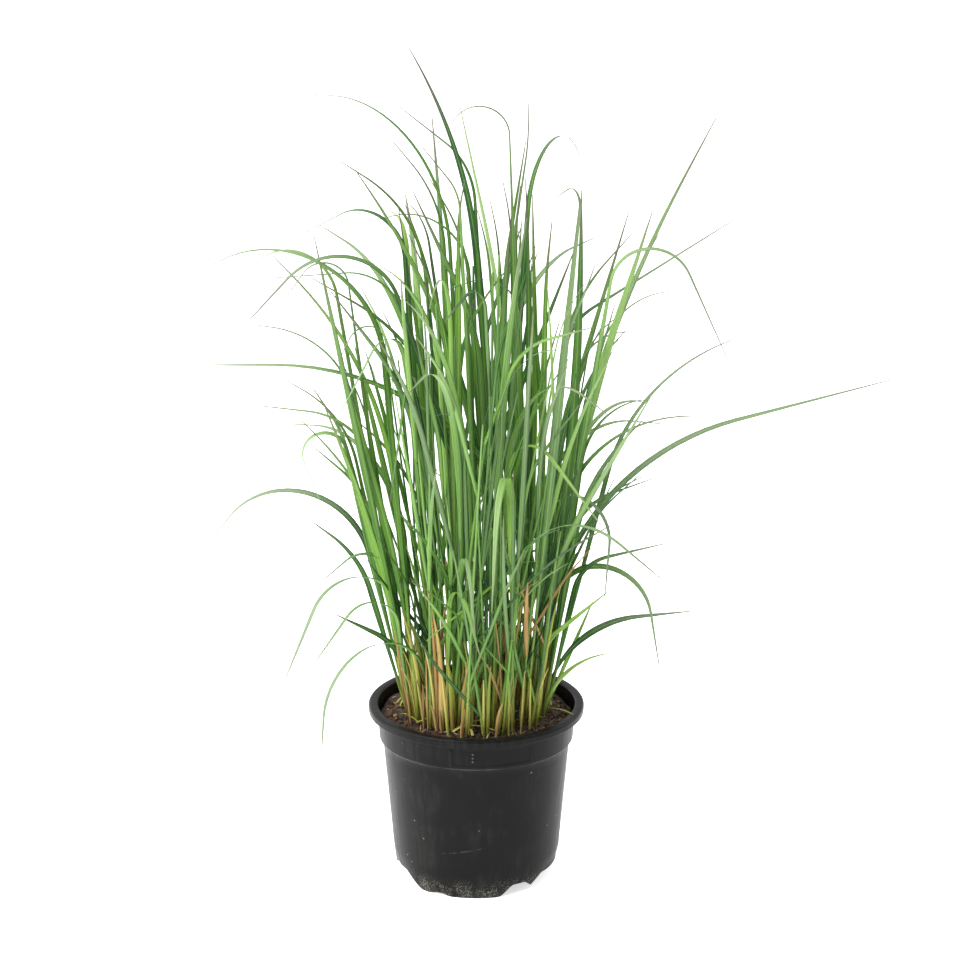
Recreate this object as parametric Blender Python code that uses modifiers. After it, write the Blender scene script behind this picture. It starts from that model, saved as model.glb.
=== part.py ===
"""Clump of ornamental grass in a black nursery pot.

The origin is on the pot's axis, on the face that the pot stands on. +Z is up, -Y is the front.
"""
import math

import bmesh
import bpy
from mathutils import Vector

COLLECTION_NAME = "potted_grass_clump"
CUTTER_COLLECTION_NAME = "cutters"

# Gap that is left between two pieces that touch.
TOUCH_GAP = 0.0003

# Pot, in metres.
POT_HEIGHT = 0.158
WALL = 0.0014
LIP_RADIUS = 0.095
LIP_WIDTH = 0.0085
LIP_HEIGHT = 0.0075
LIP_ROUNDING = 0.0022
DRAFT = 0.0005
NECK_DROP = 0.012
COLLAR_DROP = 0.031
COLLAR_TOP_RADIUS = 0.0868
COLLAR_FOOT_RADIUS = 0.0855
COLLAR_STEP = 0.0032
FOOT_RADIUS = 0.0712
FOOT_RING_WIDTH = 0.0026
CHANNEL_DEPTH = 0.0105
PAD_RADIUS = 0.038
POT_STEPS = 48

# Scallops in the foot ring: (turn from +X in degrees, half width, height).
SCALLOPS = (
    (-57, 0.0170, 0.0100),
    (-18, 0.0250, 0.0145),
    (20, 0.0180, 0.0100),
    (56, 0.0150, 0.0095),
    (94, 0.0160, 0.0100),
    (130, 0.0150, 0.0095),
    (165, 0.0160, 0.0100),
    (201, 0.0220, 0.0110),
    (243, 0.0085, 0.0030),
)
SCALLOP_SIDES = 20

# Potting mix.
MIX_TOP = 0.151
MIX_EDGE_DROP = 0.004
MIX_EDGE_WIDTH = 0.006
MIX_FLAT_RADIUS = 0.067
MIX_STEPS = 48

# Leaves and sheaths.
LEAF_THICKNESS = 0.0005
SHEATH_HALF_WIDTH = 0.0018
TIP_HALF_WIDTH = 0.0003
GUTTER = 0.22
WIDEST_AT = 0.45
TAPER_FROM = 0.5
TAPER_POWER = 1.6
STRAIGHT_RUNS = 2
BEND_RUNS = 6
TIP_RUNS = 2

# Culms.
CULM_RADIUS = 0.0016
CULM_TIP_SHARE = 0.45
CULM_POINTS = 6

# Leaves: name, foot x and y in mm, heading in degrees from +X, length in mm, lean from the
# vertical at the foot and at the tip in degrees, share of the length where the bend starts and
# where it ends, and full width in mm. A leaf is straight, then a circular arc, then straight.
LEAVES = (
    ("leaf_far_left", 60, -10, 180, 530, 3, 90, 0.20, 0.85, 9),
    ("leaf_far_right", 55, -20, 10, 495, 4, 78, 0.15, 0.70, 9),
    ("leaf_tallest", 36, 31, 185, 600, 5, 30, 0.68, 1.00, 9),
    ("leaf_left_lowest", -40, -35, 220, 245, 4, 175, 0.15, 0.85, 7),
    ("leaf_left_arch", -60, 17, 170, 360, 14, 145, 0.40, 0.85, 6),
    ("leaf_left_low", -60, -5, 205, 275, 5, 155, 0.35, 0.75, 7),
    ("leaf_right_broad", 50, 30, 330, 475, 5, 18, 0.05, 0.60, 11),
    ("leaf_top_right", 50, 40, 20, 545, 5, 30, 0.05, 0.90, 6),
    ("leaf_right_arch", 50, -35, 350, 585, 9, 155, 0.70, 0.85, 7),
    ("leaf_right_thin", 55, -28, 35, 545, 4, 70, 0.60, 0.70, 4),
    ("leaf_left_high_arch", -50, -35, 165, 555, 5, 120, 0.60, 0.95, 7),
    ("leaf_left_hooked", -35, 5, 155, 545, 4, 120, 0.75, 0.90, 8),
    ("leaf_left_broad", 55, 0, 195, 580, 18, 135, 0.70, 0.90, 10),
    ("leaf_top_left_thin", 0, -5, 140, 645, 4, 95, 0.65, 0.95, 4),
    ("leaf_top_hooked_left", 46, -21, 180, 595, 2, 165, 0.88, 1.00, 8),
    ("leaf_top_hooked_back", 12, -5, 65, 595, 10, 150, 0.75, 1.00, 7),
    ("leaf_top_hooked_front", 42, -38, 300, 545, 10, -120, 0.90, 0.95, 11),
    ("leaf_left_upright", -55, -20, 185, 445, 4, 11, 0.05, 0.10, 7),
    ("leaf_left_short", -60, 5, 165, 305, 13, 35, 0.80, 0.90, 7),
    ("leaf_left_tall_front", 20, 40, 215, 530, 4, 35, 0.25, 0.95, 7),
    ("leaf_left_front", -15, 35, 235, 485, 5, 65, 0.60, 0.95, 9),
    ("leaf_left_tall_back", -10, 40, 190, 520, 5, 55, 0.75, 0.95, 6),
    ("leaf_top_back", 45, 40, 105, 560, 4, 45, 0.15, 0.80, 5),
    ("leaf_top_crossing", 20, 25, 220, 495, 4, 28, 0.60, 0.80, 9),
    ("leaf_right_low_hook", 60, 5, 340, 285, 5, 170, 0.35, 0.80, 6),
    ("leaf_right_back_hook", 40, 50, 40, 355, 17, 135, 0.60, 0.95, 6),
    ("leaf_right_front", 45, -25, 315, 365, 5, 33, 0.05, 0.65, 6),
    ("leaf_right_low", 60, -15, 350, 225, 12, 73, 0.55, 0.75, 6),
    ("leaf_front_long", -10, -45, 260, 515, 5, 85, 0.40, 0.90, 8),
    ("leaf_front_right", 20, -15, 295, 475, 4, 95, 0.45, 0.90, 7),
    ("leaf_front_left", 0, -20, 250, 495, 5, 60, 0.40, 0.95, 7),
    ("leaf_front_low", -15, -50, 275, 320, 4, 120, 0.35, 0.85, 6),
    ("leaf_back_long", -45, 35, 95, 530, 4, 80, 0.40, 0.90, 9),
    ("leaf_back_right", 0, 50, 60, 510, 5, 90, 0.45, 0.90, 8),
    ("leaf_back_left", -30, 12, 120, 520, 5, 85, 0.45, 0.90, 8),
    ("leaf_back_low", -5, 32, 95, 350, 4, 125, 0.35, 0.85, 7),
    ("leaf_back_tall", -20, 55, 100, 520, 2, 30, 0.30, 0.95, 8),
    ("leaf_front_tall", 15, -50, 285, 500, 3, 28, 0.35, 0.95, 9),
    ("leaf_back_far_left", -55, 15, 135, 360, 4, 100, 0.40, 0.85, 6),
    ("leaf_back_far_right", 40, 32, 40, 370, 4, 105, 0.40, 0.85, 6),
    ("leaf_front_far_right", 26, -55, 320, 340, 4, 115, 0.40, 0.85, 6),
)

# Culms: name, foot x and y in mm, heading, length in mm, lean at the foot and at the tip.
CULMS = (
    ("culm_1", 12, -38, 275, 415, 1, 4),
    ("culm_2", 5, 42, 105, 375, 2, 5),
    ("culm_3", -5, 24, 80, 395, 2, 3),
    ("culm_4", -27, -27, 240, 345, 3, 6),
    ("culm_5", 15, -24, 285, 425, 1, 3),
    ("culm_6", -12, -16, 255, 355, 3, 5),
    ("culm_7", -15, -26, 225, 385, 2, 6),
    ("culm_8", -30, -40, 215, 335, 4, 7),
)

# Dry sheaths, with the same columns as the leaves.
DRY_SHEATHS = (
    ("dry_sheath_1", -36, -44, 245, 90, 3, 20, 0.40, 0.90, 6),
    ("dry_sheath_2", -30, -53, 230, 120, 2, 14, 0.40, 0.90, 6),
    ("dry_sheath_3", -20, -55, 250, 75, 4, 26, 0.40, 0.90, 6),
    ("dry_sheath_4", -45, -12, 210, 105, 4, 24, 0.40, 0.90, 6),
)

# Material: colour, roughness.
MATERIALS = {
    "black_plastic": ((0.016, 0.016, 0.017), 0.42),
    "bark_mix": ((0.050, 0.030, 0.020), 0.95),
    "leaf_green": ((0.065, 0.165, 0.030), 0.48),
    "culm_green": ((0.140, 0.240, 0.050), 0.50),
    "dry_straw": ((0.520, 0.300, 0.110), 0.70),
}


def clear_scene():
    """Remove what the opened file holds."""
    for thing in list(bpy.data.objects):
        bpy.data.objects.remove(thing, do_unlink=True)


def new_collection(name):
    collection = bpy.data.collections.new(name)
    bpy.context.scene.collection.children.link(collection)
    return collection


def make_material(name):
    colour, roughness = MATERIALS[name]
    material = bpy.data.materials.new(name)
    material.use_nodes = True
    shader = material.node_tree.nodes["Principled BSDF"]
    shader.inputs["Base Color"].default_value = (*colour, 1.0)
    shader.inputs["Roughness"].default_value = roughness
    shader.inputs["Metallic"].default_value = 0.0
    return material


def add_object(name, data, material, collection):
    thing = bpy.data.objects.new(name, data)
    data.materials.append(material)
    collection.objects.link(thing)
    return thing


def arc_points(centre, radius, start, end, count):
    """Points on an arc in the r, z plane, with the angles in degrees."""
    points = []
    for index in range(count + 1):
        angle = math.radians(start + (end - start) * index / count)
        r = centre[0] + radius * math.cos(angle)
        z = centre[1] + radius * math.sin(angle)
        points.append((r, z))
    return points


def turned_mesh(name, profile):
    """Open chain of r, z points, as a mesh for a Screw modifier."""
    mesh = bpy.data.meshes.new(name)
    shape = bmesh.new()
    verts = [shape.verts.new((r, 0.0, z)) for r, z in profile]
    for first, second in zip(verts, verts[1:]):
        shape.edges.new((first, second))
    shape.to_mesh(mesh)
    shape.free()
    return mesh


def add_screw(thing, steps):
    screw = thing.modifiers.new("turn", "SCREW")
    screw.axis = "Z"
    screw.steps = steps
    screw.render_steps = steps
    screw.use_merge_vertices = True
    screw.merge_threshold = 0.0001
    screw.use_smooth_shade = True


def neck_height():
    return POT_HEIGHT - NECK_DROP


def collar_height():
    return POT_HEIGHT - COLLAR_DROP


def body_radius(z):
    """Outer radius of the tapered body at a height under the collar."""
    top = COLLAR_FOOT_RADIUS - COLLAR_STEP
    share = z / (collar_height() - COLLAR_STEP)
    return FOOT_RADIUS + (top - FOOT_RADIUS) * share


def pot_profile():
    """Section from the inside of the floor, over the lip and down the outside to the pad."""
    floor = CHANNEL_DEPTH + WALL
    under_collar = collar_height() - COLLAR_STEP
    mouth = LIP_RADIUS - LIP_WIDTH
    profile = [(0.0, WALL)]
    profile.append((PAD_RADIUS - WALL, WALL))
    profile.append((PAD_RADIUS + CHANNEL_DEPTH / 2 - WALL, floor))
    profile.append((body_radius(floor) - WALL, floor))
    profile.append((body_radius(under_collar) - WALL, under_collar + WALL))
    profile.append((COLLAR_FOOT_RADIUS - WALL, collar_height() + WALL))
    profile.append((mouth, POT_HEIGHT - LIP_ROUNDING))
    profile += arc_points((mouth + LIP_ROUNDING, POT_HEIGHT - LIP_ROUNDING), LIP_ROUNDING, 150, 90, 2)
    lip_centre = (LIP_RADIUS - LIP_ROUNDING, POT_HEIGHT - LIP_ROUNDING)
    profile += arc_points(lip_centre, LIP_ROUNDING, 90, 0, 3)
    profile.append((LIP_RADIUS - DRAFT, POT_HEIGHT - LIP_HEIGHT))
    profile.append((LIP_RADIUS - WALL, POT_HEIGHT - LIP_HEIGHT))
    profile.append((LIP_RADIUS - WALL - DRAFT, POT_HEIGHT - 2 * WALL))
    profile.append((COLLAR_TOP_RADIUS + WALL, POT_HEIGHT - 2 * WALL))
    profile.append((COLLAR_TOP_RADIUS, neck_height()))
    profile.append((COLLAR_FOOT_RADIUS, collar_height()))
    profile.append((body_radius(under_collar), under_collar))
    profile.append((FOOT_RADIUS, 0.0))
    profile.append((FOOT_RADIUS - FOOT_RING_WIDTH, 0.0))
    profile.append((FOOT_RADIUS - FOOT_RING_WIDTH - DRAFT, CHANNEL_DEPTH))
    profile.append((PAD_RADIUS + CHANNEL_DEPTH / 2, CHANNEL_DEPTH))
    profile.append((PAD_RADIUS, 0.0))
    profile.append((0.0, 0.0))
    return profile


def add_scallop_cutter(index, turn, half_width, height, collection):
    """Elliptic bar that lies along a radius and opens the foot ring from below."""
    mesh = bpy.data.meshes.new(f"scallop_{index}")
    shape = bmesh.new()
    bmesh.ops.create_cone(
        shape,
        cap_ends=True,
        segments=SCALLOP_SIDES,
        radius1=1.0,
        radius2=1.0,
        depth=6 * FOOT_RING_WIDTH,
    )
    for vert in shape.verts:
        across, up, along = vert.co
        vert.co = Vector((along, across * half_width, up * height))
    shape.to_mesh(mesh)
    shape.free()
    cutter = bpy.data.objects.new(f"scallop_{index}", mesh)
    collection.objects.link(cutter)
    angle = math.radians(turn)
    ring = FOOT_RADIUS - FOOT_RING_WIDTH / 2
    cutter.location = (ring * math.cos(angle), ring * math.sin(angle), 0.0)
    cutter.rotation_euler = (0.0, 0.0, angle)
    cutter.hide_render = True
    cutter.display_type = "WIRE"
    return cutter


def build_pot(material, collection, cutters):
    pot = add_object("pot", turned_mesh("pot", pot_profile()), material, collection)
    add_screw(pot, POT_STEPS)
    for index, (turn, half_width, height) in enumerate(SCALLOPS, start=1):
        cutter = add_scallop_cutter(index, turn, half_width, height, cutters)
        cut = pot.modifiers.new(cutter.name, "BOOLEAN")
        cut.operation = "DIFFERENCE"
        cut.solver = "EXACT"
        cut.object = cutter


def build_mix(material, collection):
    """Root ball and bark mix, which follows the inside of the pot."""
    floor = CHANNEL_DEPTH + WALL + TOUCH_GAP
    inset = WALL + TOUCH_GAP
    under_collar = collar_height() - COLLAR_STEP
    top_radius = COLLAR_FOOT_RADIUS + DRAFT - inset
    edge = MIX_TOP - MIX_EDGE_DROP
    profile = [
        (0.0, MIX_TOP),
        (MIX_FLAT_RADIUS, MIX_TOP),
        (top_radius - MIX_EDGE_WIDTH, edge + MIX_EDGE_WIDTH / 8),
        (top_radius, edge),
        (COLLAR_FOOT_RADIUS - inset, collar_height() + WALL + 2 * TOUCH_GAP),
        (body_radius(under_collar) - inset, under_collar + WALL + 2 * TOUCH_GAP),
        (body_radius(floor) - inset, floor),
        (PAD_RADIUS + CHANNEL_DEPTH / 2 - inset - TOUCH_GAP, floor),
        (PAD_RADIUS - inset - TOUCH_GAP, WALL + TOUCH_GAP),
        (0.0, WALL + TOUCH_GAP),
    ]
    mix = add_object("potting_mix", turned_mesh("potting_mix", profile), material, collection)
    add_screw(mix, MIX_STEPS)


def path_stations(bend_from, bend_to):
    """Shares of a leaf's length where it gets a cross-section, closest together in the bend."""
    stations = [bend_from * index / STRAIGHT_RUNS for index in range(STRAIGHT_RUNS)]
    for index in range(BEND_RUNS):
        stations.append(bend_from + (bend_to - bend_from) * index / BEND_RUNS)
    for index in range(TIP_RUNS + 1):
        stations.append(bend_to + (1.0 - bend_to) * index / TIP_RUNS)
    return stations


def lean_at(share, lean_foot, lean_tip, bend_from, bend_to):
    """Lean from the vertical, in radians, at a share of a leaf's length."""
    turned = min(max((share - bend_from) / (bend_to - bend_from), 0.0), 1.0)
    return math.radians(lean_foot + (lean_tip - lean_foot) * turned)


def leaf_path(leaf, stations):
    """Points and leans along a leaf, at the given shares of its length."""
    _, foot_x, foot_y, heading, length, lean_foot, lean_tip, bend_from, bend_to, _ = leaf
    bend = (lean_foot, lean_tip, bend_from, bend_to)
    forward = Vector((math.cos(math.radians(heading)), math.sin(math.radians(heading)), 0.0))
    point = Vector((foot_x / 1000, foot_y / 1000, MIX_TOP + TOUCH_GAP))
    points = [point.copy()]
    leans = [lean_at(0.0, *bend)]
    for start, end in zip(stations, stations[1:]):
        middle = lean_at((start + end) / 2, *bend)
        turned = lean_at(end, *bend) - lean_at(start, *bend)
        chord = (end - start) * length / 1000
        if abs(turned) > 0.001:
            chord *= math.sin(turned / 2) / (turned / 2)
        point += forward * (chord * math.sin(middle))
        point += Vector((0.0, 0.0, chord * math.cos(middle)))
        points.append(point.copy())
        leans.append(lean_at(end, *bend))
    return points, leans, forward


def half_width_at(share, width):
    """Half width of a leaf: a narrow sheath, then the blade, then a long fine tip."""
    grown = min(share / WIDEST_AT, 1.0)
    grown = grown * grown * (3 - 2 * grown)
    tip = max((share - TAPER_FROM) / (1 - TAPER_FROM), 0.0)
    blade = SHEATH_HALF_WIDTH + (width / 2000 - SHEATH_HALF_WIDTH) * grown
    return blade * (1 - tip ** TAPER_POWER) + TIP_HALF_WIDTH


def build_leaf(leaf, material, collection):
    """Strip with a shallow gutter along its midrib, bent along the leaf's path."""
    name = leaf[0]
    width = leaf[-1]
    stations = path_stations(leaf[-3], leaf[-2])
    points, leans, forward = leaf_path(leaf, stations)
    side = Vector((0.0, 0.0, 1.0)).cross(forward)
    rows = len(stations)
    mesh = bpy.data.meshes.new(name)
    shape = bmesh.new()
    bmesh.ops.create_grid(shape, x_segments=2, y_segments=rows - 1, size=1.0)
    for vert in shape.verts:
        across = vert.co.x
        row = round((vert.co.y + 1.0) / 2.0 * (rows - 1))
        upper = Vector((0.0, 0.0, math.sin(leans[row]))) - forward * math.cos(leans[row])
        half_width = half_width_at(stations[row], width)
        fold = GUTTER * half_width * abs(across)
        vert.co = points[row] + side * (across * half_width) + upper * fold
    shape.to_mesh(mesh)
    shape.free()
    thing = add_object(name, mesh, material, collection)
    solid = thing.modifiers.new("thickness", "SOLIDIFY")
    solid.thickness = LEAF_THICKNESS
    solid.offset = 0.0


def build_culm(culm, material, collection):
    """Round stem that thins towards its top."""
    name, foot_x, foot_y, heading, length, lean_foot, lean_tip = culm
    stations = [index / (CULM_POINTS - 1) for index in range(CULM_POINTS)]
    row = (name, foot_x, foot_y, heading, length, lean_foot, lean_tip, 0.0, 1.0, 0.0)
    points, _, _ = leaf_path(row, stations)
    cap_lift = Vector((0.0, 0.0, CULM_RADIUS * math.sin(math.radians(abs(lean_foot)))))
    data = bpy.data.curves.new(name, "CURVE")
    data.dimensions = "3D"
    data.bevel_depth = CULM_RADIUS
    data.bevel_resolution = 1
    data.use_fill_caps = True
    spline = data.splines.new("POLY")
    spline.points.add(len(points) - 1)
    for place, point, share in zip(spline.points, points, stations):
        place.co = (*(point + cap_lift), 1.0)
        place.radius = 1.0 - (1.0 - CULM_TIP_SHARE) * share
    add_object(name, data, material, collection)


def main():
    clear_scene()
    parts = new_collection(COLLECTION_NAME)
    cutters = new_collection(CUTTER_COLLECTION_NAME)
    materials = {name: make_material(name) for name in MATERIALS}
    build_pot(materials["black_plastic"], parts, cutters)
    build_mix(materials["bark_mix"], parts)
    for culm in CULMS:
        build_culm(culm, materials["culm_green"], parts)
    for leaf in LEAVES:
        build_leaf(leaf, materials["leaf_green"], parts)
    for sheath in DRY_SHEATHS:
        build_leaf(sheath, materials["dry_straw"], parts)


main()
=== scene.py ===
"""Looks of the potted ornamental grass clump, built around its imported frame."""
import math
import random

import bpy
import numpy as np
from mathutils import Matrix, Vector, noise


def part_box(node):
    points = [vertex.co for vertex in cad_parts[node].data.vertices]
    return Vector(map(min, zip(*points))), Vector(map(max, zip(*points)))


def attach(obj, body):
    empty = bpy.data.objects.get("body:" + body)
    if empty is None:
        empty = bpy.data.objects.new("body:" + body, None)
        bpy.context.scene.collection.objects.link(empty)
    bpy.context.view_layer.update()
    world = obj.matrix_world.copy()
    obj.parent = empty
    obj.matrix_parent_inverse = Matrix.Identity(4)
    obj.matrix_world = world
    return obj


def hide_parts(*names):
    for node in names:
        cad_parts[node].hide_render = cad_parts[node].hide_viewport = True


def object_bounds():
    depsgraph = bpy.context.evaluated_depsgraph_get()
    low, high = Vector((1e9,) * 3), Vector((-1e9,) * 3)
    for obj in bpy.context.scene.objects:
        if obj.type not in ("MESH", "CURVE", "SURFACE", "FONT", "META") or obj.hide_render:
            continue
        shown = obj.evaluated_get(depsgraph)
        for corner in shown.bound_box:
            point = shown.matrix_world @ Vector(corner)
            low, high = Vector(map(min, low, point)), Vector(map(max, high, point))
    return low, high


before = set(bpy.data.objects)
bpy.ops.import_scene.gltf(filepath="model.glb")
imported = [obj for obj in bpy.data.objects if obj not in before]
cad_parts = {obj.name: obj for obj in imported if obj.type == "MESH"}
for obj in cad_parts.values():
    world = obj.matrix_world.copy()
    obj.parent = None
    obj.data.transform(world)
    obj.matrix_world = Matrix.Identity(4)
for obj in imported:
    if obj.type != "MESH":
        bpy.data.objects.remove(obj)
CAD_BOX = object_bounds()

SEED = 23
UP = np.array((0.0, 0.0, 1.0))
MM = 0.001
ARCH_TWIST = 24.0

# The pot and the mix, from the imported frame.
POT_LOW, POT_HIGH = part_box("pot")
MIX_LOW, MIX_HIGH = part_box("potting_mix")
POT_HEIGHT = POT_HIGH[2] - POT_LOW[2]
LIP_RADIUS = (POT_HIGH[0] - POT_LOW[0]) / 2
MIX_TOP = MIX_HIGH[2]
MIX_RADIUS = (MIX_HIGH[0] - MIX_LOW[0]) / 2

# Leaves that the frame's nodes stand for: node, foot x and y in mm, heading in degrees from +X,
# length in mm, lean from the vertical at the foot and at the tip in degrees, share of the length
# where the bend starts and ends, full width in mm. The last two are tone (0 dark, 1 pale) and
# how purple-brown the tip is. The shapes are fitted values, rounded.
FRAME_LEAVES = (
    ("leaf_far_left", 60, -10, 180, 530, 3, 90, 0.20, 0.85, 7, 0.40, 0.6),
    ("leaf_far_right", 55, -20, 10, 495, 4, 78, 0.15, 0.70, 6, 0.30, 0.7),
    ("leaf_tallest", 36, 31, 185, 600, 5, 30, 0.68, 1.00, 9, 0.15, 0.9),
    ("leaf_left_lowest", -40, -35, 220, 245, 4, 175, 0.15, 0.85, 5, 0.26, 0.5),
    ("leaf_left_arch", -60, 17, 170, 360, 14, 145, 0.40, 0.85, 6, 0.12, 1.0),
    ("leaf_left_low", -60, -5, 205, 275, 5, 155, 0.35, 0.75, 7, 0.25, 0.7),
    ("leaf_right_broad", 50, 30, 330, 475, 5, 18, 0.05, 0.60, 11, 0.70, 0.7),
    ("leaf_top_right", 50, 40, 20, 545, 5, 30, 0.05, 0.90, 6, 0.45, 0.9),
    ("leaf_right_arch", 50, -35, 350, 585, 9, 155, 0.70, 0.85, 7, 0.45, 1.0),
    ("leaf_right_thin", 55, -28, 35, 545, 4, 70, 0.60, 0.70, 4, 0.15, 1.0),
    ("leaf_left_high_arch", -50, -35, 165, 555, 5, 120, 0.60, 0.95, 7, 0.40, 0.9),
    ("leaf_left_hooked", -35, 5, 155, 545, 4, 120, 0.75, 0.90, 8, 0.25, 0.9),
    ("leaf_left_broad", 55, 0, 195, 580, 18, 135, 0.70, 0.90, 10, 0.30, 0.9),
    ("leaf_top_left_thin", 0, -5, 140, 645, 4, 95, 0.65, 0.95, 4, 0.35, 1.0),
    ("leaf_top_hooked_left", 46, -21, 180, 595, 2, 165, 0.88, 1.00, 8, 0.45, 0.8),
    ("leaf_top_hooked_back", 12, -5, 65, 595, 10, 150, 0.75, 1.00, 7, 0.30, 0.9),
    ("leaf_top_hooked_front", 42, -38, 300, 545, 10, -120, 0.90, 0.95, 11, 0.30, 0.6),
    ("leaf_left_upright", -55, -20, 185, 445, 4, 11, 0.05, 0.10, 7, 0.40, 0.8),
    ("leaf_left_short", -60, 5, 165, 305, 13, 35, 0.80, 0.90, 7, 0.45, 0.6),
    ("leaf_left_tall_front", 20, 40, 215, 530, 4, 35, 0.25, 0.95, 7, 0.50, 0.8),
    ("leaf_left_front", -15, 35, 235, 485, 5, 65, 0.60, 0.95, 9, 0.72, 0.7),
    ("leaf_left_tall_back", -10, 40, 190, 520, 5, 55, 0.75, 0.95, 6, 0.45, 0.8),
    ("leaf_top_back", 45, 40, 105, 560, 4, 45, 0.15, 0.80, 5, 0.70, 0.3),
    ("leaf_top_crossing", 20, 25, 220, 495, 4, 28, 0.60, 0.80, 9, 0.35, 0.9),
    ("leaf_right_low_hook", 60, 5, 340, 285, 5, 170, 0.35, 0.80, 6, 0.35, 0.8),
    ("leaf_right_back_hook", 40, 50, 40, 355, 17, 135, 0.60, 0.95, 6, 0.35, 0.9),
    ("leaf_right_front", 45, -25, 315, 365, 5, 33, 0.05, 0.65, 6, 0.40, 0.5),
    ("leaf_right_low", 60, -15, 350, 225, 12, 73, 0.55, 0.75, 6, 0.30, 0.5),
    ("leaf_front_long", -10, -45, 260, 515, 5, 85, 0.40, 0.90, 8, 0.40, 0.7),
    ("leaf_front_right", 20, -15, 295, 475, 4, 95, 0.45, 0.90, 7, 0.45, 0.7),
    ("leaf_front_left", 0, -20, 250, 495, 5, 60, 0.40, 0.95, 7, 0.50, 0.7),
    ("leaf_front_low", -15, -50, 275, 320, 4, 120, 0.35, 0.85, 6, 0.40, 0.6),
    ("leaf_back_long", -45, 35, 95, 530, 4, 80, 0.40, 0.90, 9, 0.35, 0.8),
    ("leaf_back_right", 0, 50, 60, 510, 5, 90, 0.45, 0.90, 8, 0.30, 0.8),
    ("leaf_back_left", -30, 12, 120, 520, 5, 85, 0.45, 0.90, 8, 0.40, 0.8),
    ("leaf_back_low", -5, 32, 95, 350, 4, 125, 0.35, 0.85, 7, 0.40, 0.7),
    ("leaf_back_tall", -20, 55, 100, 520, 2, 30, 0.30, 0.95, 8, 0.35, 0.8),
    ("leaf_front_tall", 15, -50, 285, 500, 3, 28, 0.35, 0.95, 9, 0.45, 0.8),
    ("leaf_back_far_left", -55, 15, 135, 360, 4, 100, 0.40, 0.85, 6, 0.35, 0.8),
    ("leaf_back_far_right", 40, 32, 40, 370, 4, 105, 0.40, 0.85, 6, 0.35, 0.8),
    ("leaf_front_far_right", 26, -55, 320, 340, 4, 115, 0.40, 0.85, 6, 0.40, 0.8),
)

# Culms that the frame's nodes stand for: node, foot x and y in mm, heading, length in mm, lean
# at the foot and at the tip.
FRAME_CULMS = (
    ("culm_1", 12, -38, 275, 415, 1, 4),
    ("culm_2", 5, 42, 105, 375, 2, 5),
    ("culm_3", -5, 24, 80, 395, 2, 3),
    ("culm_4", -27, -27, 240, 345, 3, 6),
    ("culm_5", 15, -24, 285, 425, 1, 3),
    ("culm_6", -12, -16, 255, 355, 3, 5),
    ("culm_7", -15, -26, 225, 385, 2, 6),
    ("culm_8", -30, -40, 215, 335, 4, 7),
)

# Dry sheaths that the frame's nodes stand for, with the columns of a leaf.
FRAME_SHEATHS = (
    ("dry_sheath_1", -36, -44, 245, 90, 3, 20, 0.40, 0.90, 6, 0.5, 0.0),
    ("dry_sheath_2", -30, -53, 230, 120, 2, 14, 0.40, 0.90, 6, 0.3, 0.0),
    ("dry_sheath_3", -20, -55, 250, 75, 4, 26, 0.40, 0.90, 6, 0.7, 0.0),
    ("dry_sheath_4", -45, -12, 210, 105, 4, 24, 0.40, 0.90, 6, 0.6, 0.0),
)

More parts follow.
